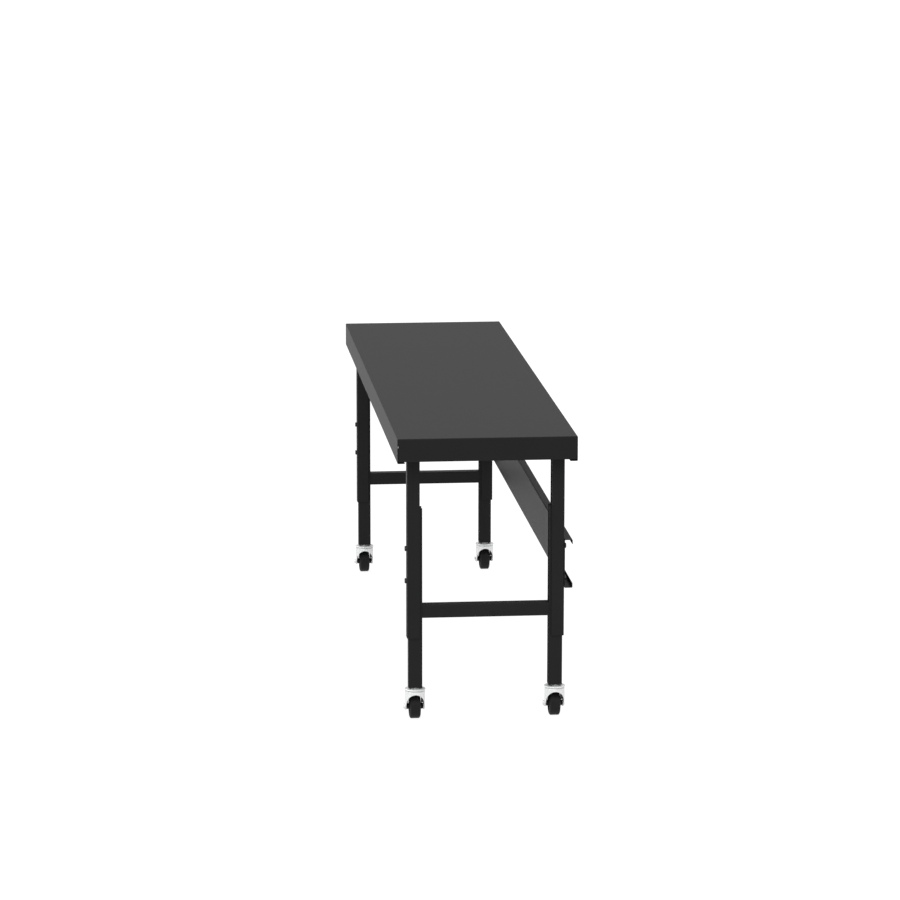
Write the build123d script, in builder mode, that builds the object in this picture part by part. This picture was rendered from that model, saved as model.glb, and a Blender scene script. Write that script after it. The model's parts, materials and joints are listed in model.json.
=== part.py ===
from build123d import *

import os

# Mobile steel workbench: folded top, telescoping channel legs, rear stringer, four swivel castors.
# Millimetres. X runs to the right, Y to the rear, Z up; the origin is on the floor under the middle.

# Worktop: one folded sheet
TOP_LENGTH = 2438.0
TOP_DEPTH = 610.0
TOP_HEIGHT = 988.0
PAN_SHEET = 2.0
PAN_BEND = 3.0
SIDE_DROP = 85.0
END_DROP = 79.0
SIDE_LIP = 25.0
END_LIP = 20.0
CORNER_SEAM = 1.0
WELDED_CORNER = 25.0

# Hat channels under the top sheet
HAT_HEIGHT = 28.0
HAT_FOOT = 15.0
STIFFENER_WIDTH = 60.0
STIFFENER_SHEET = 1.5
STIFFENER_LENGTH = 2160.0
STIFFENER_Y = 150.0
CROSS_CHANNEL_WIDTH = 84.0
CROSS_CHANNEL_SHEET = 2.0

# Legs: the lower channel nests in the upper one, webs facing out
LEG_X = 1142.5
UPPER_OUTER_Y = 268.3
UPPER_WIDTH = 47.0
UPPER_REACH = 43.3
UPPER_WALL = 4.0
UPPER_BOTTOM = 287.0
NEST_GAP = 0.8
LOWER_WIDTH = 38.0
LOWER_REACH = 47.3
LOWER_WALL = 3.0
LOWER_BOTTOM = 113.0
LOWER_TOP = 738.0
LEG_BEND = 5.0

# Leg bolts and the hole column that sets the height
HOLE_PITCH = 28.0
UPPER_BOLT_Z = 596.0
LOWER_BOLT_Z = UPPER_BOLT_Z - 4 * HOLE_PITCH
COLUMN_BOTTOM = LOWER_BOLT_Z - 5 * HOLE_PITCH
COLUMN_HOLES = 11
BOLT_RADIUS = 5.0
BOLT_HOLE_RADIUS = 5.3
BOLT_LENGTH = 24.0
HEX_FLATS = 16.0
HEX_HEAD_HEIGHT = 6.4
HEX_NUT_HEIGHT = 8.0
HEX_CORNER_RATIO = 2 / 3 ** 0.5
HEX_BEVEL = 0.6
THREAD_CHAMFER = 0.8
WASHER_RADIUS = 10.0
WASHER_THICKNESS = 2.0
WASHER_GAP = 0.1

# Plates that close the leg ends
TOP_PLATE_X = 76.0
TOP_PLATE_Y = 90.0
TOP_PLATE_CENTRE_Y = 250.0
TOP_PLATE_THICKNESS = 5.0
PLATE_BOLT_X = 28.0
PLATE_BOLT_Y = 35.0
PLATE_BOLT_RADIUS = 4.0
PLATE_BOLT_LENGTH = 16.0
PLATE_BOLT_FLATS = 13.0
PLATE_BOLT_HEAD = 5.3
PLATE_BOLT_GAP = 0.4
TOP_PLATE_CORNER = 6.0
FOOT_PLATE_THICKNESS = 5.0

# Rear stringer and cross braces
STRINGER_CENTRE_Z = 537.0
STRINGER_HEIGHT = 168.0
STRINGER_REACH = 28.2
STRINGER_LIP = 16.0
STRINGER_SHEET = 1.9
STRINGER_BEND = 3.5
BRACE_BOTTOM = 356.5
BRACE_HEIGHT = 46.0
BRACE_WALL = 2.5
BRACE_BEND = 4.0

# Castors
WHEEL_RADIUS = 42.0
WHEEL_WIDTH = 38.0
TREAD_FLAT = 28.0
SHOULDER_RADIUS = 31.0
HUB_RADIUS = 30.0
HUB_WIDTH = 34.0
HUB_RIM = 25.0
HUB_WEB = 8.0
HUB_RIBS = 8
HUB_RIB_THICKNESS = 2.4
HUB_RIB_RECESS = 2.5
BOSS_RADIUS = 11.0
BOSS_DRAFT = 1.5
BOSS_END_GAP = 0.6
HUB_DRAFT = 1.0
BUSH_RADIUS = 7.0
RUNNING_GAP = 0.05
AXLE_RADIUS = 5.0
AXLE_HOLE_RADIUS = 5.2
AXLE_HEAD_RADIUS = 9.0
AXLE_HEAD_HEIGHT = 2.5
AXLE_HEAD_ROUNDING = 2.0
AXLE_NUT_HEIGHT = 6.5
AXLE_END = 1.0
TRAIL = 13.0
FORK_RADIUS = 34.5
FORK_SHEET = 3.0
FORK_BEND = 5.0
FORK_SKIRT_BOTTOM = 74.0
FORK_EAR_RADIUS = 12.5
FORK_EAR_OUTER_Y = 32.0
CROWN_TOP = 102.5
ARCH_HALF_WIDTH = 30.5
ARCH_RISE = 38.0
ARCH_TOP = 91.0
REAR_MOUTH_WIDTH = 45.0
REAR_MOUTH_TOP = 88.0
REAR_MOUTH_CORNER = 10.0
PLATE_RADIUS = 36.0
PLATE_BOTTOM = 104.0
PLATE_TOP = 108.0
PLATE_ROUNDING = 2.0
BALL_RADIUS = 2.0
BALL_RING_RADIUS = 24.0
BALL_COUNT = 20
GROOVE_GAP = 0.05
KINGPIN_RADIUS = 6.0
KINGPIN_HEAD_RADIUS = 11.0
KINGPIN_HEAD_HEIGHT = 3.0
KINGPIN_HEAD_ROUNDING = 1.5
KINGPIN_GAP = 0.1
STEM_RADIUS = 6.0
STEM_TOP = 132.0
STEM_CHAMFER = 1.0
STEM_HOLE_RADIUS = 6.3
STEM_SHOULDER_FLATS = 24.0
STEM_NUT_FLATS = 19.0
STEM_NUT_HEIGHT = 10.0

# Worked out from the above
SHEET_UNDERSIDE = TOP_HEIGHT - PAN_SHEET
HAT_BOTTOM = SHEET_UNDERSIDE - HAT_HEIGHT
UPPER_TOP = HAT_BOTTOM - TOP_PLATE_THICKNESS
LOWER_OUTER_Y = UPPER_OUTER_Y - UPPER_WALL - NEST_GAP
LOWER_INNER_Y = LOWER_OUTER_Y - LOWER_REACH
CASTOR_Y = LOWER_OUTER_Y - LOWER_REACH / 2
BALL_Z = (CROWN_TOP + PLATE_BOTTOM) / 2
FORK_EAR_INNER_Y = FORK_EAR_OUTER_Y - FORK_SHEET
LEG_END_X = LEG_X + UPPER_WIDTH / 2
BOLT_LEVELS = (LOWER_BOLT_Z, UPPER_BOLT_Z)
COLUMN_LEVELS = [COLUMN_BOTTOM + HOLE_PITCH * step for step in range(COLUMN_HOLES)]
ENDS = (("right", 1), ("left", -1))
SIDES = (("front", -1), ("rear", 1))

os.makedirs("parts", exist_ok=True)


def save(part, label):
    """Names a finished piece and writes its STEP file."""
    part.label = label
    export_step(part, f"parts/{label}.step")


def save_group(single, places, label):
    """Writes one node that holds a copy of one piece at each place."""
    with BuildPart() as group:
        with Locations(*places):
            add(single)
    save(group.part, label)


def worktop_pan():
    """The top sheet with four folded flanges, return lips and corners welded at the top."""
    side_flange_y = TOP_DEPTH / 2 - PAN_SHEET
    end_flange_x = TOP_LENGTH / 2 - PAN_SHEET
    end_flange_width = 2 * (side_flange_y - CORNER_SEAM)
    lower_edge = TOP_HEIGHT - SIDE_DROP
    with BuildPart() as pan:
        with BuildSketch(Plane.XY.offset(lower_edge)):
            Rectangle(TOP_LENGTH, TOP_DEPTH)
        extrude(amount=SIDE_DROP)
        fillet(pan.faces().sort_by(Axis.Z)[-1].edges(), PAN_BEND)
        offset(amount=-PAN_SHEET, openings=pan.faces().sort_by(Axis.Z)[0])
        # The end flanges stop short of the side flanges' lower edge.
        with BuildSketch(Plane.XY.offset(lower_edge)):
            Rectangle(TOP_LENGTH, 2 * side_flange_y)
        extrude(amount=SIDE_DROP - END_DROP, mode=Mode.SUBTRACT)
        # Return lips under the side flanges, then under the end flanges.
        with BuildSketch(Plane.XY.offset(lower_edge)):
            with GridLocations(0, TOP_DEPTH - SIDE_LIP, 1, 2):
                Rectangle(TOP_LENGTH, SIDE_LIP)
        extrude(amount=PAN_SHEET)
        with BuildSketch(Plane.XY.offset(TOP_HEIGHT - END_DROP)):
            with GridLocations(TOP_LENGTH - END_LIP, 0, 2, 1):
                Rectangle(END_LIP, end_flange_width)
        extrude(amount=PAN_SHEET)
        outer_bends = (
            pan.edges()
            .filter_by(Axis.X)
            .filter_by_position(Axis.Z, lower_edge, lower_edge)
            .group_by(SortBy.LENGTH)[-1]
        )
        side_bends = [edge for edge in outer_bends if abs(edge.center().Y) > side_flange_y]
        fillet(side_bends, PAN_BEND)
        # Open seams between the flanges, below the welded tops of the corners.
        with BuildSketch(Plane.XY.offset(lower_edge)):
            with GridLocations(2 * end_flange_x + PAN_SHEET, 2 * side_flange_y - CORNER_SEAM, 2, 2):
                Rectangle(PAN_SHEET, CORNER_SEAM)
        extrude(amount=SIDE_DROP - WELDED_CORNER, mode=Mode.SUBTRACT)
    return pan.part


def hat_channel(section, width, length, sheet):
    """A hat section hung under the top sheet, its feet against it, run along the section's normal."""
    with BuildPart() as hat:
        with BuildSketch(section):
            with Locations((0, HAT_BOTTOM + HAT_HEIGHT / 2)):
                Rectangle(width, HAT_HEIGHT)
            with Locations((0, HAT_BOTTOM + HAT_HEIGHT / 2 + sheet)):
                Rectangle(width - 2 * sheet, HAT_HEIGHT, mode=Mode.SUBTRACT)
            with Locations(
                ((width + HAT_FOOT) / 2, SHEET_UNDERSIDE - sheet / 2),
                (-(width + HAT_FOOT) / 2, SHEET_UNDERSIDE - sheet / 2),
            ):
                Rectangle(HAT_FOOT, sheet)
        extrude(amount=length / 2, both=True)
    return hat.part


def cross_channel(end):
    """The hat channel across the bench that the two legs of one end bolt to."""
    section = Plane(origin=(end * LEG_X, 0, 0), x_dir=(1, 0, 0), z_dir=(0, -1, 0))
    length = TOP_DEPTH - 2 * PAN_SHEET - 2 * CORNER_SEAM
    blank = hat_channel(section, CROSS_CHANNEL_WIDTH, length, CROSS_CHANNEL_SHEET)
    with BuildPart() as channel:
        add(blank)
        with BuildSketch(Plane.XY.offset(HAT_BOTTOM)):
            with Locations(*plate_bolt_places(end, -1), *plate_bolt_places(end, 1)):
                Circle(PLATE_BOLT_RADIUS)
        extrude(amount=CROSS_CHANNEL_SHEET, mode=Mode.SUBTRACT)
    return channel.part


def plate_bolt_places(end, side):
    """The four bolts of one leg's top plate, as X and Y."""
    return [
        (end * LEG_X + dx, side * TOP_PLATE_CENTRE_Y + dy)
        for dx in (-PLATE_BOLT_X, PLATE_BOLT_X)
        for dy in (-PLATE_BOLT_Y, PLATE_BOLT_Y)
    ]


def leg_channel(end, side, outer_y, width, reach, wall, bottom, top, hole_levels):
    """A leg channel with its web on the outer side, drilled at the given levels."""
    x = end * LEG_X
    web_y = side * outer_y
    inner_web_y = web_y - side * wall
    with BuildPart() as leg:
        with BuildSketch(Plane.XY.offset(bottom)) as outline:
            with Locations((x, web_y - side * reach / 2)):
                Rectangle(width, reach)
            web_corners = outline.vertices().filter_by_position(Axis.Y, web_y, web_y)
            fillet(web_corners, LEG_BEND)
            with Locations((x, inner_web_y - side * reach / 2)):
                Rectangle(width - 2 * wall, reach, mode=Mode.SUBTRACT)
            inner_corners = outline.vertices().filter_by_position(Axis.Y, inner_web_y, inner_web_y)
            fillet(inner_corners, LEG_BEND - wall)
        extrude(amount=top - bottom)
        with BuildSketch(Plane.XZ.offset(-web_y)):
            with Locations(*[(x, level) for level in hole_levels]):
                Circle(BOLT_HOLE_RADIUS)
        extrude(amount=2 * wall, both=True, mode=Mode.SUBTRACT)
    return leg.part


def leg_top_plate(end, side):
    """The plate welded on an upper leg, drilled for four bolts."""
    with BuildPart() as plate:
        with BuildSketch(Plane.XY.offset(UPPER_TOP)):
            with Locations((end * LEG_X, side * TOP_PLATE_CENTRE_Y)):
                RectangleRounded(TOP_PLATE_X, TOP_PLATE_Y, TOP_PLATE_CORNER)
            with Locations(*plate_bolt_places(end, side)):
                Circle(PLATE_BOLT_RADIUS + PLATE_BOLT_GAP, mode=Mode.SUBTRACT)
        extrude(amount=TOP_PLATE_THICKNESS)
    return plate.part


def foot_plate(end, side):
    """The plate welded inside a lower leg's end, with the hole for the castor stem."""
    plate_reach = LOWER_REACH - LOWER_WALL
    centre_y = side * (LOWER_INNER_Y + plate_reach / 2)
    with BuildPart() as plate:
        with BuildSketch(Plane.XY.offset(LOWER_BOTTOM)) as outline:
            with Locations((end * LEG_X, centre_y)):
                Rectangle(LOWER_WIDTH - 2 * LOWER_WALL, plate_reach)
            web_y = side * (LOWER_OUTER_Y - LOWER_WALL)
            web_corners = outline.vertices().filter_by_position(Axis.Y, web_y, web_y)
            fillet(web_corners, LEG_BEND - LOWER_WALL)
            with Locations((end * LEG_X, side * CASTOR_Y)):
                Circle(STEM_HOLE_RADIUS, mode=Mode.SUBTRACT)
        extrude(amount=FOOT_PLATE_THICKNESS)
    return plate.part


def hex_bolt(radius, length, flats, head_height):
    """A hex bolt that stands on its seat: head up along Z, shank down."""
    corner = flats / 2 * HEX_CORNER_RATIO
    with BuildPart() as bolt:
        with BuildSketch():
            RegularPolygon(flats / 2, 6, major_radius=False)
        extrude(amount=head_height)
        with BuildSketch(Plane.XZ):
            with BuildLine():
                Polyline(
                    (0, 0),
                    (corner, 0),
                    (corner, head_height - 2 * HEX_BEVEL),
                    (flats / 2 - HEX_BEVEL, head_height),
                    (0, head_height),
                    close=True,
                )
            make_face()
        revolve(axis=Axis.Z, mode=Mode.INTERSECT)
        with BuildSketch():
            Circle(radius)
        extrude(amount=-length)
        chamfer(bolt.edges().sort_by(Axis.Z)[0], THREAD_CHAMFER)
    return bolt.part


def hex_nut(radius, flats, height):
    """A hex nut that stands on its seat, chamfered at both faces."""
    corner = flats / 2 * HEX_CORNER_RATIO
    with BuildPart() as nut:
        with BuildSketch():
            RegularPolygon(flats / 2, 6, major_radius=False)
            Circle(radius, mode=Mode.SUBTRACT)
        extrude(amount=height)
        with BuildSketch(Plane.XZ):
            with BuildLine():
                Polyline(
                    (0, 0),
                    (flats / 2, 0),
                    (corner, HEX_BEVEL),
                    (corner, height - HEX_BEVEL),
                    (flats / 2, height),
                    (0, height),
                    close=True,
                )
            make_face()
        revolve(axis=Axis.Z, mode=Mode.INTERSECT)
    return nut.part


def washer():
    """A flat washer that lies on its seat."""
    with BuildPart() as ring:
        with BuildSketch():
            Circle(WASHER_RADIUS)
            Circle(BOLT_HOLE_RADIUS, mode=Mode.SUBTRACT)
        extrude(amount=WASHER_THICKNESS)
    return ring.part


def rear_stringer():
    """A lipped channel along the back, its web against the rear legs and its mouth to the rear."""
    centre = (UPPER_OUTER_Y + STRINGER_REACH / 2, STRINGER_CENTRE_Z)
    inner_height = STRINGER_HEIGHT - 2 * STRINGER_SHEET
    with BuildPart() as stringer:
        with BuildSketch(Plane.YZ):
            with Locations(centre):
                RectangleRounded(STRINGER_REACH, STRINGER_HEIGHT, STRINGER_BEND)
                RectangleRounded(
                    STRINGER_REACH - 2 * STRINGER_SHEET,
                    inner_height,
                    STRINGER_BEND - STRINGER_SHEET,
                    mode=Mode.SUBTRACT,
                )
            with Locations((UPPER_OUTER_Y + STRINGER_REACH, STRINGER_CENTRE_Z)):
                Rectangle(4 * STRINGER_SHEET, STRINGER_HEIGHT - 2 * STRINGER_LIP, mode=Mode.SUBTRACT)
        extrude(amount=LEG_END_X, both=True)
        with BuildSketch(Plane.XZ.offset(-UPPER_OUTER_Y)):
            with Locations(*[(end * LEG_X, level) for _, end in ENDS for level in BOLT_LEVELS]):
                Circle(BOLT_HOLE_RADIUS)
        extrude(amount=-2 * STRINGER_SHEET, mode=Mode.SUBTRACT)
    return stringer.part


def cross_brace(end):
    """The channel between the two lower legs of one end, open at the bottom."""
    with BuildPart() as brace:
        with BuildSketch(Plane.XZ) as section:
            with Locations((end * LEG_X, BRACE_BOTTOM + BRACE_HEIGHT / 2)):
                Rectangle(LOWER_WIDTH, BRACE_HEIGHT)
            fillet(section.vertices().sort_by(Axis.Z)[-2:], BRACE_BEND)
            with Locations((end * LEG_X, BRACE_BOTTOM + BRACE_HEIGHT / 2 - BRACE_WALL)):
                Rectangle(LOWER_WIDTH - 2 * BRACE_WALL, BRACE_HEIGHT, mode=Mode.SUBTRACT)
        extrude(amount=LOWER_INNER_Y, both=True)
    return brace.part


def ball_groove(radius):
    """Cuts a ball race of the given section radius in the part being built."""
    with BuildPart(mode=Mode.PRIVATE) as groove:
        with BuildSketch(Plane.XZ):
            with Locations((BALL_RING_RADIUS, BALL_Z)):
                Circle(radius)
        revolve(axis=Axis.Z)
    return groove.part


def castor_stem():
    """The swivel plate with the kingpin below it and the hex shoulder and stem above it."""
    kingpin_head_top = CROWN_TOP - FORK_SHEET - KINGPIN_GAP
    with BuildPart() as stem:
        with BuildSketch(Plane.XY.offset(PLATE_BOTTOM)):
            Circle(PLATE_RADIUS)
        extrude(amount=PLATE_TOP - PLATE_BOTTOM)
        fillet(stem.faces().sort_by(Axis.Z)[-1].edges(), PLATE_ROUNDING)
        with BuildSketch(Plane.XY.offset(PLATE_TOP)):
            RegularPolygon(STEM_SHOULDER_FLATS / 2, 6, major_radius=False)
        extrude(amount=LOWER_BOTTOM - PLATE_TOP)
        with BuildSketch(Plane.XY.offset(LOWER_BOTTOM)):
            Circle(STEM_RADIUS)
        extrude(amount=STEM_TOP - LOWER_BOTTOM)
        chamfer(stem.edges().sort_by(Axis.Z)[-1], STEM_CHAMFER)
        with BuildSketch(Plane.XY.offset(PLATE_BOTTOM)):
            Circle(KINGPIN_RADIUS)
        extrude(amount=kingpin_head_top - PLATE_BOTTOM)
        with BuildSketch(Plane.XY.offset(kingpin_head_top)):
            Circle(KINGPIN_HEAD_RADIUS)
        extrude(amount=-KINGPIN_HEAD_HEIGHT)
        fillet(stem.edges().sort_by(Axis.Z)[0], KINGPIN_HEAD_ROUNDING)
        add(ball_groove(BALL_RADIUS + GROOVE_GAP), mode=Mode.SUBTRACT)
    return stem.part


def castor_fork():
    """The pressed fork: a round cup with an arched mouth, cut back to two arms round the axle."""
    ear_bottom = WHEEL_RADIUS - FORK_EAR_RADIUS
    arch_centre_z = ARCH_TOP - ARCH_RISE
    skirt_height = CROWN_TOP - FORK_SKIRT_BOTTOM
    with BuildPart() as fork:
        # Cup, cut to its side outline: full above, narrowing to the round ears below.
        with BuildSketch(Plane.XY.offset(ear_bottom)):
            Circle(FORK_RADIUS)
        extrude(amount=CROWN_TOP - ear_bottom)
        fillet(fork.edges().sort_by(Axis.Z)[-1], FORK_BEND)
        with BuildSketch(Plane.XY.offset(ear_bottom)):
            Circle(FORK_RADIUS - FORK_SHEET)
        extrude(amount=CROWN_TOP - FORK_SHEET - ear_bottom, mode=Mode.SUBTRACT)
        with BuildSketch(Plane.XZ):
            with Locations((-TRAIL, WHEEL_RADIUS)):
                Circle(FORK_EAR_RADIUS)
            with Locations((0, FORK_SKIRT_BOTTOM + skirt_height / 2)):
                Rectangle(2 * FORK_RADIUS, skirt_height)
            make_hull()
        extrude(amount=FORK_RADIUS, both=True, mode=Mode.INTERSECT)
        # Flat ears that the axle clamps.
        with BuildSketch(Plane.XZ):
            with Locations((-TRAIL, WHEEL_RADIUS)):
                Circle(FORK_EAR_RADIUS)
        extrude(amount=FORK_RADIUS, both=True, mode=Mode.SUBTRACT)
        for side_y in (-FORK_EAR_INNER_Y, FORK_EAR_OUTER_Y):
            with BuildSketch(Plane.XZ.offset(-side_y)):
                with Locations((-TRAIL, WHEEL_RADIUS)):
                    Circle(FORK_EAR_RADIUS)
                    Circle(AXLE_HOLE_RADIUS, mode=Mode.SUBTRACT)
            extrude(amount=FORK_SHEET)
        # Arched front mouth and square rear mouth.
        with BuildSketch(Plane.YZ):
            with Locations((0, arch_centre_z)):
                Ellipse(ARCH_HALF_WIDTH, ARCH_RISE)
            with Locations((0, arch_centre_z / 2)):
                Rectangle(2 * ARCH_HALF_WIDTH, arch_centre_z)
        extrude(amount=FORK_RADIUS, mode=Mode.SUBTRACT)
        with BuildSketch(Plane.YZ):
            with Locations((0, REAR_MOUTH_TOP / 2)):
                RectangleRounded(REAR_MOUTH_WIDTH, REAR_MOUTH_TOP, REAR_MOUTH_CORNER)
        extrude(amount=-FORK_RADIUS, mode=Mode.SUBTRACT)
        # Kingpin hole and ball race.
        with BuildSketch(Plane.XY.offset(CROWN_TOP)):
            Circle(KINGPIN_RADIUS + RUNNING_GAP)
        extrude(amount=-2 * FORK_SHEET, mode=Mode.SUBTRACT)
        add(ball_groove(BALL_RADIUS + GROOVE_GAP), mode=Mode.SUBTRACT)
    return fork.part


def axle_bolt():
    """The axle with its low round head on the rear side."""
    length = 2 * FORK_EAR_OUTER_Y + AXLE_NUT_HEIGHT + AXLE_END
    with BuildPart() as axle:
        with BuildSketch(Plane.XZ.offset(-FORK_EAR_OUTER_Y)):
            Circle(AXLE_RADIUS)
        extrude(amount=length)
        chamfer(axle.edges().sort_by(Axis.Y)[0], THREAD_CHAMFER)
        with BuildSketch(Plane.XZ.offset(-FORK_EAR_OUTER_Y)):
            Circle(AXLE_HEAD_RADIUS)
        extrude(amount=-AXLE_HEAD_HEIGHT)
        fillet(axle.edges().sort_by(Axis.Y)[-1], AXLE_HEAD_ROUNDING)
    return axle.part


def axle_bush():
    """The steel sleeve that the axle clamps between the fork's ears."""
    with BuildPart() as bush:
        with BuildSketch(Plane.XZ):
            Circle(BUSH_RADIUS)
            Circle(AXLE_HOLE_RADIUS, mode=Mode.SUBTRACT)
        extrude(amount=FORK_EAR_INNER_Y, both=True)
    return bush.part


def wheel_hub():
    """The moulded hub: rim, thin ribbed web and a long boss that runs on the bush."""
    bore = BUSH_RADIUS + RUNNING_GAP
    boss_end = FORK_EAR_INNER_Y - BOSS_END_GAP
    rib_height = HUB_WIDTH / 2 - HUB_RIB_RECESS
    rib_length = HUB_RIM - BOSS_RADIUS
    with BuildPart() as hub:
        with BuildSketch(Plane.XY):
            with BuildLine():
                Polyline(
                    (bore, 0),
                    (bore, boss_end),
                    (BOSS_RADIUS - BOSS_DRAFT, boss_end),
                    (BOSS_RADIUS, HUB_WIDTH / 2),
                    (BOSS_RADIUS + HUB_DRAFT, HUB_WEB / 2),
                    (HUB_RIM - HUB_DRAFT, HUB_WEB / 2),
                    (HUB_RIM, HUB_WIDTH / 2),
                    (HUB_RADIUS, HUB_WIDTH / 2),
                    (HUB_RADIUS, 0),
                    close=True,
                )
            make_face()
            mirror(about=Plane.XZ)
        revolve(axis=Axis.Y)
        with BuildSketch(Plane.XZ):
            with PolarLocations(BOSS_RADIUS + rib_length / 2, HUB_RIBS):
                Rectangle(rib_length + HUB_DRAFT, HUB_RIB_THICKNESS)
        extrude(amount=rib_height, both=True)
    return hub.part


def wheel_tyre():
    """The solid tyre: flat tread with wide round shoulders."""
    side = WHEEL_WIDTH / 2
    with BuildPart() as tyre:
        with BuildSketch(Plane.XY):
            with BuildLine():
                Polyline((SHOULDER_RADIUS, side), (HUB_RADIUS, side), (HUB_RADIUS, 0), (WHEEL_RADIUS, 0),
                         (WHEEL_RADIUS, TREAD_FLAT / 2))
                TangentArc((SHOULDER_RADIUS, side), (WHEEL_RADIUS, TREAD_FLAT / 2), tangent=(1, 0))
            make_face()
            mirror(about=Plane.XZ)
        revolve(axis=Axis.Y)
    return tyre.part


def ball_ring():
    """The ring of balls between the swivel plate and the fork's crown."""
    with BuildPart() as balls:
        with Locations((0, 0, BALL_Z)):
            with PolarLocations(BALL_RING_RADIUS, BALL_COUNT):
                Sphere(BALL_RADIUS)
    return balls.part


def seat(x, y, z, direction):
    """A place on a leg's web whose Z axis points along Y in the given direction."""
    return Plane(origin=(x, y, z), x_dir=(1, 0, 0), z_dir=(0, direction, 0)).location


# Worktop and what is under it
save(worktop_pan(), "worktop_pan")
for side_name, side in SIDES:
    section = Plane(origin=(0, side * STIFFENER_Y, 0), x_dir=(0, 1, 0), z_dir=(1, 0, 0))
    save(
        hat_channel(section, STIFFENER_WIDTH, STIFFENER_LENGTH, STIFFENER_SHEET),
        f"{side_name}_stiffener",
    )
for end_name, end in ENDS:
    save(cross_channel(end), f"{end_name}_cross_channel")

# Legs, plates and braces
for end_name, end in ENDS:
    for side_name, side in SIDES:
        corner = f"{end_name}_{side_name}"
        save(
            leg_channel(end, side, UPPER_OUTER_Y, UPPER_WIDTH, UPPER_REACH, UPPER_WALL,
                        UPPER_BOTTOM, UPPER_TOP, BOLT_LEVELS),
            f"{corner}_upper_leg",
        )
        save(leg_top_plate(end, side), f"{corner}_leg_top_plate")
        save(
            leg_channel(end, side, LOWER_OUTER_Y, LOWER_WIDTH, LOWER_REACH, LOWER_WALL,
                        LOWER_BOTTOM, LOWER_TOP, COLUMN_LEVELS),
            f"{corner}_lower_leg",
        )
        save(foot_plate(end, side), f"{corner}_foot_plate")
    save(cross_brace(end), f"{end_name}_cross_brace")
save(rear_stringer(), "rear_stringer")

# Fasteners
plate_bolt = hex_bolt(PLATE_BOLT_RADIUS, PLATE_BOLT_LENGTH, PLATE_BOLT_FLATS, PLATE_BOLT_HEAD)
plate_seats = [
    Plane(origin=(x, y, UPPER_TOP), z_dir=(0, 0, -1)).location
    for _, end in ENDS
    for _, side in SIDES
    for x, y in plate_bolt_places(end, side)
]
save_group(plate_bolt, plate_seats, "top_plate_bolts")

leg_bolt = hex_bolt(BOLT_RADIUS, BOLT_LENGTH, HEX_FLATS, HEX_HEAD_HEIGHT)
head_y = {-1: -UPPER_OUTER_Y, 1: UPPER_OUTER_Y + STRINGER_SHEET}
washer_y = LOWER_OUTER_Y - LOWER_WALL - WASHER_GAP
bolt_places = [(end * LEG_X, side, level) for _, end in ENDS for _, side in SIDES for level in BOLT_LEVELS]
save_group(leg_bolt, [seat(x, head_y[side], z, side) for x, side, z in bolt_places], "leg_bolts")
save_group(washer(), [seat(x, side * washer_y, z, -side) for x, side, z in bolt_places],
           "leg_bolt_washers")
save_group(
    hex_nut(BOLT_RADIUS, HEX_FLATS, HEX_NUT_HEIGHT),
    [seat(x, side * (washer_y - WASHER_THICKNESS), z, -side) for x, side, z in bolt_places],
    "leg_bolt_nuts",
)

# Castors
stem_nut = hex_nut(STEM_RADIUS, STEM_NUT_FLATS, STEM_NUT_HEIGHT)
axle_nut = hex_nut(AXLE_RADIUS, HEX_FLATS, AXLE_NUT_HEIGHT)
stem_nut_z = LOWER_BOTTOM + FOOT_PLATE_THICKNESS
castor_pieces = {
    "castor_stem": (castor_stem(), (0, 0)),
    "castor_fork": (castor_fork(), (0, 0)),
    "axle_bolt": (axle_bolt(), (-TRAIL, WHEEL_RADIUS)),
    "axle_bush": (axle_bush(), (-TRAIL, WHEEL_RADIUS)),
    "wheel_hub": (wheel_hub(), (-TRAIL, WHEEL_RADIUS)),
    "wheel_tyre": (wheel_tyre(), (-TRAIL, WHEEL_RADIUS)),
}
balls = ball_ring()
for end_name, end in ENDS:
    x = end * LEG_X
    for side_name, side in SIDES:
        y = side * CASTOR_Y
        for piece_name, (piece, (dx, z)) in castor_pieces.items():
            save_group(piece, [(x + dx, y, z)], f"{end_name}_{side_name}_{piece_name}")
        nut_seat = seat(x - TRAIL, y - FORK_EAR_OUTER_Y, WHEEL_RADIUS, -1)
        save_group(axle_nut, [nut_seat], f"{end_name}_{side_name}_axle_nut")
    save_group(stem_nut, [(x, side * CASTOR_Y, stem_nut_z) for _, side in SIDES],
               f"{end_name}_stem_nuts")
    save_group(balls, [(x, side * CASTOR_Y, 0) for _, side in SIDES], f"{end_name}_castor_balls")
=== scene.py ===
import json
import math

import bpy
from mathutils import Matrix, Vector


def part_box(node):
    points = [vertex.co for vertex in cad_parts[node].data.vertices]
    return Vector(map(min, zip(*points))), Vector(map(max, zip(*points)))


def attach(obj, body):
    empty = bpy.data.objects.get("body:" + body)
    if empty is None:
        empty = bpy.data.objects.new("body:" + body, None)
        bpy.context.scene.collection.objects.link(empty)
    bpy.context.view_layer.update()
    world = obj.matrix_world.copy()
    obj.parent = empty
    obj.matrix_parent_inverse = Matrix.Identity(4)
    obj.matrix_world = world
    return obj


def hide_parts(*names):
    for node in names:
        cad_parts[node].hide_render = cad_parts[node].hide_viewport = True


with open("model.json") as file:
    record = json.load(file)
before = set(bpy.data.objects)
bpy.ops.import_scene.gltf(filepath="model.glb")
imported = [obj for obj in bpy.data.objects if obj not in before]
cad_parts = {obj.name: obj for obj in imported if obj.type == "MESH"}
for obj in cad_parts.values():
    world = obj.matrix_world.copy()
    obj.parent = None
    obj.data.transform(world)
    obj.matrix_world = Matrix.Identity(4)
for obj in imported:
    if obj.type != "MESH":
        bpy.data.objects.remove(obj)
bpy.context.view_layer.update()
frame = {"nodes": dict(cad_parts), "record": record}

NODES = frame["nodes"]
ENDS = ("right", "left")
SIDES = ("front", "rear")
CORNERS = [(end, side) for end in ENDS for side in SIDES]

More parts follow.
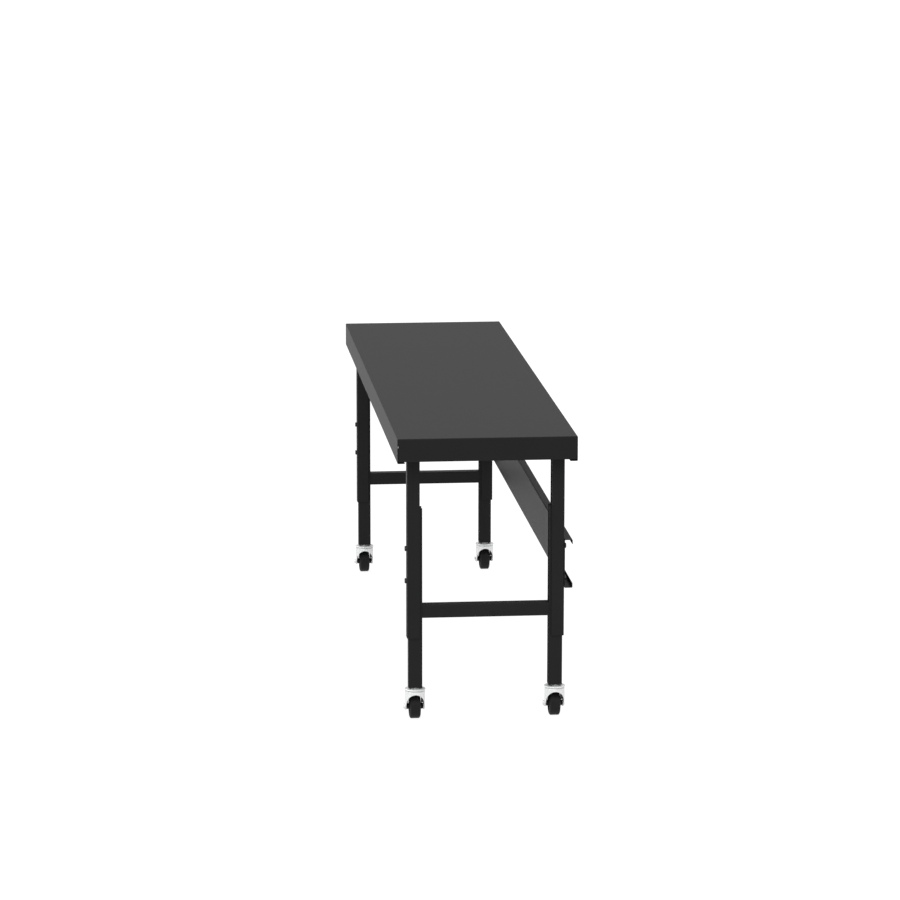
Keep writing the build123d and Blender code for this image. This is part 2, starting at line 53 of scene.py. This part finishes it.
# Camera: looks along the bench from its right end, a little from the front and from above.
CAMERA_PLACE = Vector((14.352, -1.402, 3.514))
CAMERA_AZIMUTH = math.radians(84.4584)
CAMERA_ELEVATION = math.radians(11.0043)
CAMERA_ROLL = math.radians(0.053)
CAMERA_LENS = 160.2
CAMERA_SENSOR = 36.0
CAMERA_REACH = 300.0

# Leg bolts, all in metres
BOLT_RADIUS = 0.005
BOLT_PITCH = 0.0015
BOLT_LENGTH = 0.024
BOLT_CHAMFER = 0.0008
THREAD_DEPTH = 0.0008
THREAD_FLANK = 1.25
ROWS_PER_TURN = 6
HEX_FLATS = 0.016
HEX_CORNER = HEX_FLATS / 3 ** 0.5
HEX_HEIGHT = 0.0064
HEX_BEVEL = 0.0006
ROUND_STEPS = 36

# Weld beads
BEAD_RADIUS = 0.0022
BEAD_RIPPLE = 0.0016
BEAD_RIPPLE_DEPTH = 0.16
BEAD_END = 0.55
BEAD_STEP = 0.0004
BEAD_SIDES = 10
BRACE_BEAD_SUNK = BEAD_RADIUS * 0.45
PLATE_BEAD_DROP = BEAD_RADIUS * 0.3
BEAD_CORNER = BEAD_RADIUS * 2

# Powder coat: sizes and relief in metres, drifts as shares
PEEL_SIZE = 0.0022
PAINT_GRAIN_SIZE = 0.0004
PAINT_DRIFT_SIZE = 0.16
PAINT_RELIEF = 0.00002
TONE_DRIFT = 0.07
GLOSS_DRIFT = 0.015
EDGE_ROUNDING = 0.0008
FOLD_ROUNDING = 0.002

# Zinc plate
SPANGLE_SIZE = 0.009
DRAWN_MARK_SIZE = 0.0007
DRAWN_STRETCH = (1, 1, 0.08)
ZINC_DARK = (0.66, 0.67, 0.69)
ZINC_LIGHT = (0.77, 0.77, 0.76)
ZINC_METALLIC = 0.45
ZINC_ROUGHNESS = (0.42, 0.56)
ZINC_RELIEF = 0.000012
ZINC_ROUNDING = 0.0005

# Bare steel
CLOUD_SIZE = 0.006
SCRATCH_SIZE = 0.0004
SCRATCH_STRETCH = (0.1, 1, 1)
SCRATCH_RELIEF = 0.000006
STEEL_DARKENING = 0.8
STEEL_ROUNDING = 0.0004

# Moulded plastic and rubber
DUST_SIZE = 0.018
DUST_LIGHTENING = 1.5
DUST_OFFSET = 0.002
MOULDED_ROUNDING = 0.0006

# How far the roughness of steel, plastic and rubber goes below and above its middle
ROUGHNESS_BELOW = 0.06
ROUGHNESS_ABOVE = 0.08

# Floor and light
FLOOR_SIZE = 160
SKY_STRENGTH = 0.70
FLOOR_ALBEDO = 0.12
FLOOR_GLOW = 0.93
KEY_STRENGTH = 3.4
KEY_SPREAD = math.radians(100)
KEY_SOURCE = Vector((0.15, -0.28, 1.0))


# ---------------------------------------------------------------- materials

def new_material(name):
    """An empty node material with its shader, as (material, node tree, shader)."""
    material = bpy.data.materials.new(name)
    material.use_nodes = True
    tree = material.node_tree
    tree.nodes.clear()
    output = tree.nodes.new("ShaderNodeOutputMaterial")
    shader = tree.nodes.new("ShaderNodeBsdfPrincipled")
    tree.links.new(shader.outputs["BSDF"], output.inputs["Surface"])
    return material, tree, shader


def object_space(tree, stretch=(1, 1, 1)):
    """The object's own coordinates in metres, stretched along its axes."""
    coordinates = tree.nodes.new("ShaderNodeTexCoord")
    mapping = tree.nodes.new("ShaderNodeMapping")
    mapping.inputs["Scale"].default_value = stretch
    tree.links.new(coordinates.outputs["Object"], mapping.inputs["Vector"])
    return mapping.outputs["Vector"]


def noise(tree, vector, grain, detail=2.0, roughness=0.5):
    """Noise whose features are about grain metres across."""
    node = tree.nodes.new("ShaderNodeTexNoise")
    node.inputs["Scale"].default_value = 1 / grain
    node.inputs["Detail"].default_value = detail
    node.inputs["Roughness"].default_value = roughness
    tree.links.new(vector, node.inputs["Vector"])
    return node.outputs["Fac"]


def remap(tree, value, low, high, from_low=0.3, from_high=0.7):
    """A value carried from one range to another."""
    node = tree.nodes.new("ShaderNodeMapRange")
    node.inputs["From Min"].default_value = from_low
    node.inputs["From Max"].default_value = from_high
    node.inputs["To Min"].default_value = low
    node.inputs["To Max"].default_value = high
    tree.links.new(value, node.inputs["Value"])
    return node.outputs["Result"]


def blend_colours(tree, factor, first, second):
    """A colour between two, by a factor."""
    node = tree.nodes.new("ShaderNodeMix")
    node.data_type = "RGBA"
    node.inputs["A"].default_value = (*first, 1)
    node.inputs["B"].default_value = (*second, 1)
    tree.links.new(factor, node.inputs["Factor"])
    return node.outputs["Result"]


def add_values(tree, first, second, weight):
    """first + weight * second."""
    node = tree.nodes.new("ShaderNodeMath")
    node.operation = "MULTIPLY_ADD"
    node.inputs[1].default_value = weight
    tree.links.new(second, node.inputs[0])
    tree.links.new(first, node.inputs[2])
    return node.outputs["Value"]


def bump(tree, shader, height, depth, edge):
    """Relief of depth metres on the shader's normal, over edges rounded to a radius."""
    node = tree.nodes.new("ShaderNodeBump")
    node.inputs["Strength"].default_value = 1.0
    node.inputs["Distance"].default_value = depth
    tree.links.new(height, node.inputs["Height"])
    rounding = tree.nodes.new("ShaderNodeBevel")
    rounding.samples = 4
    rounding.inputs["Radius"].default_value = edge
    tree.links.new(rounding.outputs["Normal"], node.inputs["Normal"])
    tree.links.new(node.outputs["Normal"], shader.inputs["Normal"])


def powder_coat(name, colour, roughness, specular, edge=EDGE_ROUNDING):
    """Satin black powder coat: orange peel, a fine grain and a faint drift in tone and gloss."""
    material, tree, shader = new_material(name)
    space = object_space(tree)
    peel = noise(tree, space, PEEL_SIZE, 1.0)
    grain = noise(tree, space, PAINT_GRAIN_SIZE)
    drift = noise(tree, space, PAINT_DRIFT_SIZE, 3.0)
    darker = tuple(c * (1 - TONE_DRIFT) for c in colour)
    lighter = tuple(c * (1 + TONE_DRIFT) for c in colour)
    tone = remap(tree, add_values(tree, drift, grain, 0.35), 0, 1, 0.5, 0.85)
    tree.links.new(blend_colours(tree, tone, darker, lighter), shader.inputs["Base Color"])
    sheen = add_values(tree, peel, drift, 0.3)
    gloss = remap(tree, sheen, roughness - GLOSS_DRIFT, roughness + GLOSS_DRIFT, 0.45, 0.85)
    tree.links.new(gloss, shader.inputs["Roughness"])
    shader.inputs["Specular IOR Level"].default_value = specular
    bump(tree, shader, add_values(tree, peel, grain, 0.3), PAINT_RELIEF, edge)
    return material


def zinc_plate(name):
    """Bright zinc on pressed steel: soft spangle, faint drawing marks and a slight colour shift."""
    material, tree, shader = new_material(name)
    space = object_space(tree)
    drawn = object_space(tree, DRAWN_STRETCH)
    spangle = noise(tree, space, SPANGLE_SIZE, 3.0)
    marks = noise(tree, drawn, DRAWN_MARK_SIZE)
    factor = remap(tree, spangle, 0, 1)
    tree.links.new(blend_colours(tree, factor, ZINC_DARK, ZINC_LIGHT), shader.inputs["Base Color"])
    shader.inputs["Metallic"].default_value = ZINC_METALLIC
    gloss = remap(tree, add_values(tree, spangle, marks, 0.4), *ZINC_ROUGHNESS, 0.4, 1.0)
    tree.links.new(gloss, shader.inputs["Roughness"])
    bump(tree, shader, add_values(tree, marks, spangle, 0.5), ZINC_RELIEF, ZINC_ROUNDING)
    return material


def bare_steel(name, colour, roughness):
    """Ground or blackened steel with fine scratches."""
    material, tree, shader = new_material(name)
    space = object_space(tree)
    cloud = noise(tree, space, CLOUD_SIZE, 3.0)
    scratch = noise(tree, object_space(tree, SCRATCH_STRETCH), SCRATCH_SIZE, 1.0)
    darker = tuple(c * STEEL_DARKENING for c in colour)
    factor = remap(tree, cloud, 0, 1)
    tree.links.new(blend_colours(tree, factor, darker, colour), shader.inputs["Base Color"])
    shader.inputs["Metallic"].default_value = 1.0
    worn = add_values(tree, cloud, scratch, 0.5)
    gloss = remap(tree, worn, roughness - ROUGHNESS_BELOW, roughness + ROUGHNESS_ABOVE, 0.4, 1.1)
    tree.links.new(gloss, shader.inputs["Roughness"])
    bump(tree, shader, scratch, SCRATCH_RELIEF, STEEL_ROUNDING)
    return material


def moulded(name, colour, roughness, specular, grain_size, depth):
    """Moulded plastic or rubber with a fine matt grain and a little dust."""
    material, tree, shader = new_material(name)
    space = object_space(tree)
    grain = noise(tree, space, grain_size)
    dust = noise(tree, space, DUST_SIZE, 4.0, 0.65)
    dusty = tuple(c * DUST_LIGHTENING + DUST_OFFSET for c in colour)
    factor = remap(tree, dust, 0, 0.6, 0.45, 0.75)
    tree.links.new(blend_colours(tree, factor, colour, dusty), shader.inputs["Base Color"])
    matt = add_values(tree, dust, grain, 0.3)
    gloss = remap(tree, matt, roughness - ROUGHNESS_BELOW, roughness + ROUGHNESS_ABOVE, 0.4, 0.9)
    tree.links.new(gloss, shader.inputs["Roughness"])
    shader.inputs["Specular IOR Level"].default_value = specular
    bump(tree, shader, grain, depth, MOULDED_ROUNDING)
    return material


MATERIALS = {
    "top_paint": powder_coat(
        "satin black top", (0.0078, 0.0079, 0.0083), 0.52, 0.14, FOLD_ROUNDING
    ),
    "frame_paint": powder_coat("satin black frame", (0.0123, 0.0124, 0.0127), 0.50, 0.08),
    "black_oxide": bare_steel("black oxide", (0.045, 0.045, 0.048), 0.42),
    "zinc_plate": zinc_plate("bright zinc"),
    "bearing_steel": bare_steel("ground steel", (0.60, 0.60, 0.61), 0.24),
    "wheel_hub": moulded("hub plastic", (0.006, 0.006, 0.0062), 0.48, 0.15, 0.0006, 0.00002),
    "wheel_tyre": moulded("tyre rubber", (0.007, 0.007, 0.0072), 0.62, 0.15, 0.0004, 0.00003),
}


def finish_nodes():
    """Gives every CAD node the material of its slot."""
    slots = {part["node"]: part["material_slot"] for part in frame["record"]["subparts"]}
    for node, obj in NODES.items():
        obj.data.materials.clear()
        obj.data.materials.append(MATERIALS[slots[node]])


# ---------------------------------------------------------------- new pieces

def mesh_object(name, points, faces, body, slot):
    """A new piece, made of points and faces in the frame, that rides on a body."""
    mesh = bpy.data.meshes.new(name)
    mesh.from_pydata(points, [], faces)
    mesh.update()
    mesh.materials.append(MATERIALS[slot])
    obj = bpy.data.objects.new(name, mesh)
    bpy.context.collection.objects.link(obj)
    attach(obj, body)
    return obj


def skin(loops, first):
    """Faces over a stack of equal loops, closed at both ends, its points numbered from first."""
    steps = len(loops[0])
    faces = []
    for row in range(len(loops) - 1):
        low = first + row * steps
        for k in range(steps):
            after = (k + 1) % steps
            faces.append((low + k, low + after, low + steps + after, low + steps + k))
    faces.append(tuple(reversed(range(first, first + steps))))
    last = first + (len(loops) - 1) * steps
    faces.append(tuple(range(last, last + steps)))
    return faces


def hex_radius(angle):
    """How far the hexagon of the bolt head reaches at an angle."""
    sixth = math.pi / 3
    return HEX_FLATS / 2 / math.cos((angle % sixth) - sixth / 2)


def thread_radius(angle, z):
    """The threaded shank's radius: a blunt V that climbs one pitch a turn, run out at both ends."""
    phase = (z / BOLT_PITCH - angle / (2 * math.pi)) % 1.0
    valley = max(0.0, 1 - abs(2 * phase - 1) * THREAD_FLANK)
    runout = min(1.0, max(0.0, (-z - BOLT_PITCH) / BOLT_PITCH))
    chamfered = BOLT_RADIUS - BOLT_CHAMFER + (z + BOLT_LENGTH)
    return min(BOLT_RADIUS - THREAD_DEPTH * valley * runout, chamfered)


def bolt_loops():
    """A hex bolt as loops of points from its tip up: threaded shank, then the bevelled head."""
    angles = [2 * math.pi * k / ROUND_STEPS for k in range(ROUND_STEPS)]
    rows = round(BOLT_LENGTH / BOLT_PITCH * ROWS_PER_TURN)
    profile = []
    for row in range(rows + 1):
        z = -BOLT_LENGTH * (1 - row / rows)
        profile.append((z, [thread_radius(angle, z) for angle in angles]))
    for z, limit in (
        (0, HEX_CORNER),
        (HEX_HEIGHT - 2 * HEX_BEVEL, HEX_CORNER),
        (HEX_HEIGHT - HEX_BEVEL, (HEX_CORNER + HEX_FLATS / 2 - HEX_BEVEL) / 2),
        (HEX_HEIGHT, HEX_FLATS / 2 - HEX_BEVEL),
    ):
        profile.append((z, [min(hex_radius(angle), limit) for angle in angles]))
    return [
        [Vector((r * math.cos(angle), r * math.sin(angle), z)) for r, angle in zip(radii, angles)]
        for z, radii in profile
    ]


def threaded_leg_bolts():
    """The leg bolts with real threads, in the places of the plain CAD ones."""
    low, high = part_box("leg_bolts")
    outer = {-1: low[1] + HEX_HEIGHT, 1: high[1] - HEX_HEIGHT}
    levels = (low[2] + HEX_FLATS / 2, high[2] - HEX_FLATS / 2)
    leg_x = high[0] - HEX_CORNER
    loops = bolt_loops()
    points, faces = [], []
    for x in (leg_x, -leg_x):
        for side, seat_y in outer.items():
            turn = Vector((0, side, 0)).to_track_quat("Z", "Y").to_matrix()
            for z in levels:
                faces += skin(loops, len(points))
                points += [turn @ p + Vector((x, seat_y, z)) for loop in loops for p in loop]
    bolts = mesh_object("threaded_leg_bolts", points, faces, "bench", "black_oxide")
    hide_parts("leg_bolts")


def bead_loops(start, end):
    """Loops of points of a rippled round bead between two points, thinned at its ends."""
    along = end - start
    steps = max(8, round(along.length / BEAD_STEP))
    side = along.orthogonal().normalized()
    other = along.normalized().cross(side)
    loops = []
    for step in range(steps + 1):
        travel = along.length * step / steps
        ripple = 1 - BEAD_RIPPLE_DEPTH * abs(math.sin(math.pi * travel / BEAD_RIPPLE))
        inset = min(travel, along.length - travel) / BEAD_RADIUS
        taper = min(1.0, BEAD_END + (1 - BEAD_END) * inset)
        radius = BEAD_RADIUS * ripple * taper
        loops.append([
            start + along * (step / steps)
            + radius * (math.cos(a) * side + math.sin(a) * other)
            for a in (2 * math.pi * k / BEAD_SIDES for k in range(BEAD_SIDES))
        ])
    return loops


def welds(name, seams, body):
    """Weld beads along straight seams, as one painted piece."""
    points, faces = [], []
    for start, end in seams:
        loops = bead_loops(Vector(start), Vector(end))
        faces += skin(loops, len(points))
        points += [p for loop in loops for p in loop]
    beads = mesh_object(name, points, faces, body, "frame_paint")
    for polygon in beads.data.polygons:
        polygon.use_smooth = True


def brace_welds(end):
    """Upright beads where a cross brace meets its two lower legs, on both faces."""
    low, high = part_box(f"{end}_cross_brace")
    faces_x = (low[0] + BRACE_BEAD_SUNK, high[0] - BRACE_BEAD_SUNK)
    ends_y = (low[1], high[1])
    bottom, top = low[2] + BEAD_RADIUS, high[2] - BEAD_CORNER
    seams = [((x, y, bottom), (x, y, top)) for x in faces_x for y in ends_y]
    welds(f"{end}_brace_welds", seams, f"{end}_leg_frame")


def top_plate_welds(end, side):
    """Beads round the top of an upper leg, under its top plate."""
    low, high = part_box(f"{end}_{side}_upper_leg")
    z = high[2] - PLATE_BEAD_DROP
    web_y, mouth_y = (low[1], high[1]) if side == "front" else (high[1], low[1])
    seams = [((low[0] + BEAD_CORNER, web_y, z), (high[0] - BEAD_CORNER, web_y, z))]
    inward = math.copysign(BEAD_CORNER, mouth_y - web_y)
    for x in (low[0], high[0]):
        seams.append(((x, web_y + inward, z), (x, mouth_y, z)))
    welds(f"{end}_{side}_top_plate_welds", seams, "bench")


# ---------------------------------------------------------------- stage

def stage():
    """A glowing white floor under a dim sky, with one very wide soft lamp above it."""
    world = bpy.data.worlds.new("studio")
    world.use_nodes = True
    world.node_tree.nodes["Background"].inputs["Color"].default_value = (1, 1, 1, 1)
    world.node_tree.nodes["Background"].inputs["Strength"].default_value = SKY_STRENGTH
    bpy.context.scene.world = world
    bpy.ops.mesh.primitive_plane_add(size=FLOOR_SIZE)
    floor = bpy.context.object
    floor.name = "floor"
    material, _, shader = new_material("floor")
    shader.inputs["Base Color"].default_value = (FLOOR_ALBEDO, FLOOR_ALBEDO, FLOOR_ALBEDO, 1)
    shader.inputs["Roughness"].default_value = 0.9
    shader.inputs["Specular IOR Level"].default_value = 0.0
    shader.inputs["Emission Color"].default_value = (1, 1, 1, 1)
    shader.inputs["Emission Strength"].default_value = FLOOR_GLOW
    floor.data.materials.append(material)
    lamp_data = bpy.data.lights.new("key", "SUN")
    lamp_data.energy = KEY_STRENGTH
    lamp_data.angle = KEY_SPREAD
    lamp = bpy.data.objects.new("key", lamp_data)
    bpy.context.collection.objects.link(lamp)
    lamp.rotation_euler = (-KEY_SOURCE).to_track_quat("-Z", "Y").to_euler()
    bpy.context.scene.view_settings.view_transform = "Standard"


def camera():
    """The camera at its place, turned by its azimuth, elevation and roll."""
    a, e = CAMERA_AZIMUTH, CAMERA_ELEVATION
    ahead = Vector((-math.sin(a) * math.cos(e), math.cos(a) * math.cos(e), -math.sin(e)))
    level = ahead.cross(Vector((0, 0, 1))).normalized()
    upright = level.cross(ahead)
    c, s = math.cos(CAMERA_ROLL), math.sin(CAMERA_ROLL)
    right = c * level + s * upright
    up = c * upright - s * level
    data = bpy.data.cameras.new("camera")
    data.lens = CAMERA_LENS
    data.sensor_width = CAMERA_SENSOR
    data.clip_end = CAMERA_REACH
    obj = bpy.data.objects.new("camera", data)
    bpy.context.collection.objects.link(obj)
    turn = Matrix((right, up, -ahead)).transposed().to_4x4()
    obj.matrix_world = Matrix.Translation(CAMERA_PLACE) @ turn
    bpy.context.scene.camera = obj


finish_nodes()
threaded_leg_bolts()
for end in ENDS:
    brace_welds(end)
for end, side in CORNERS:
    top_plate_welds(end, side)
stage()
camera()
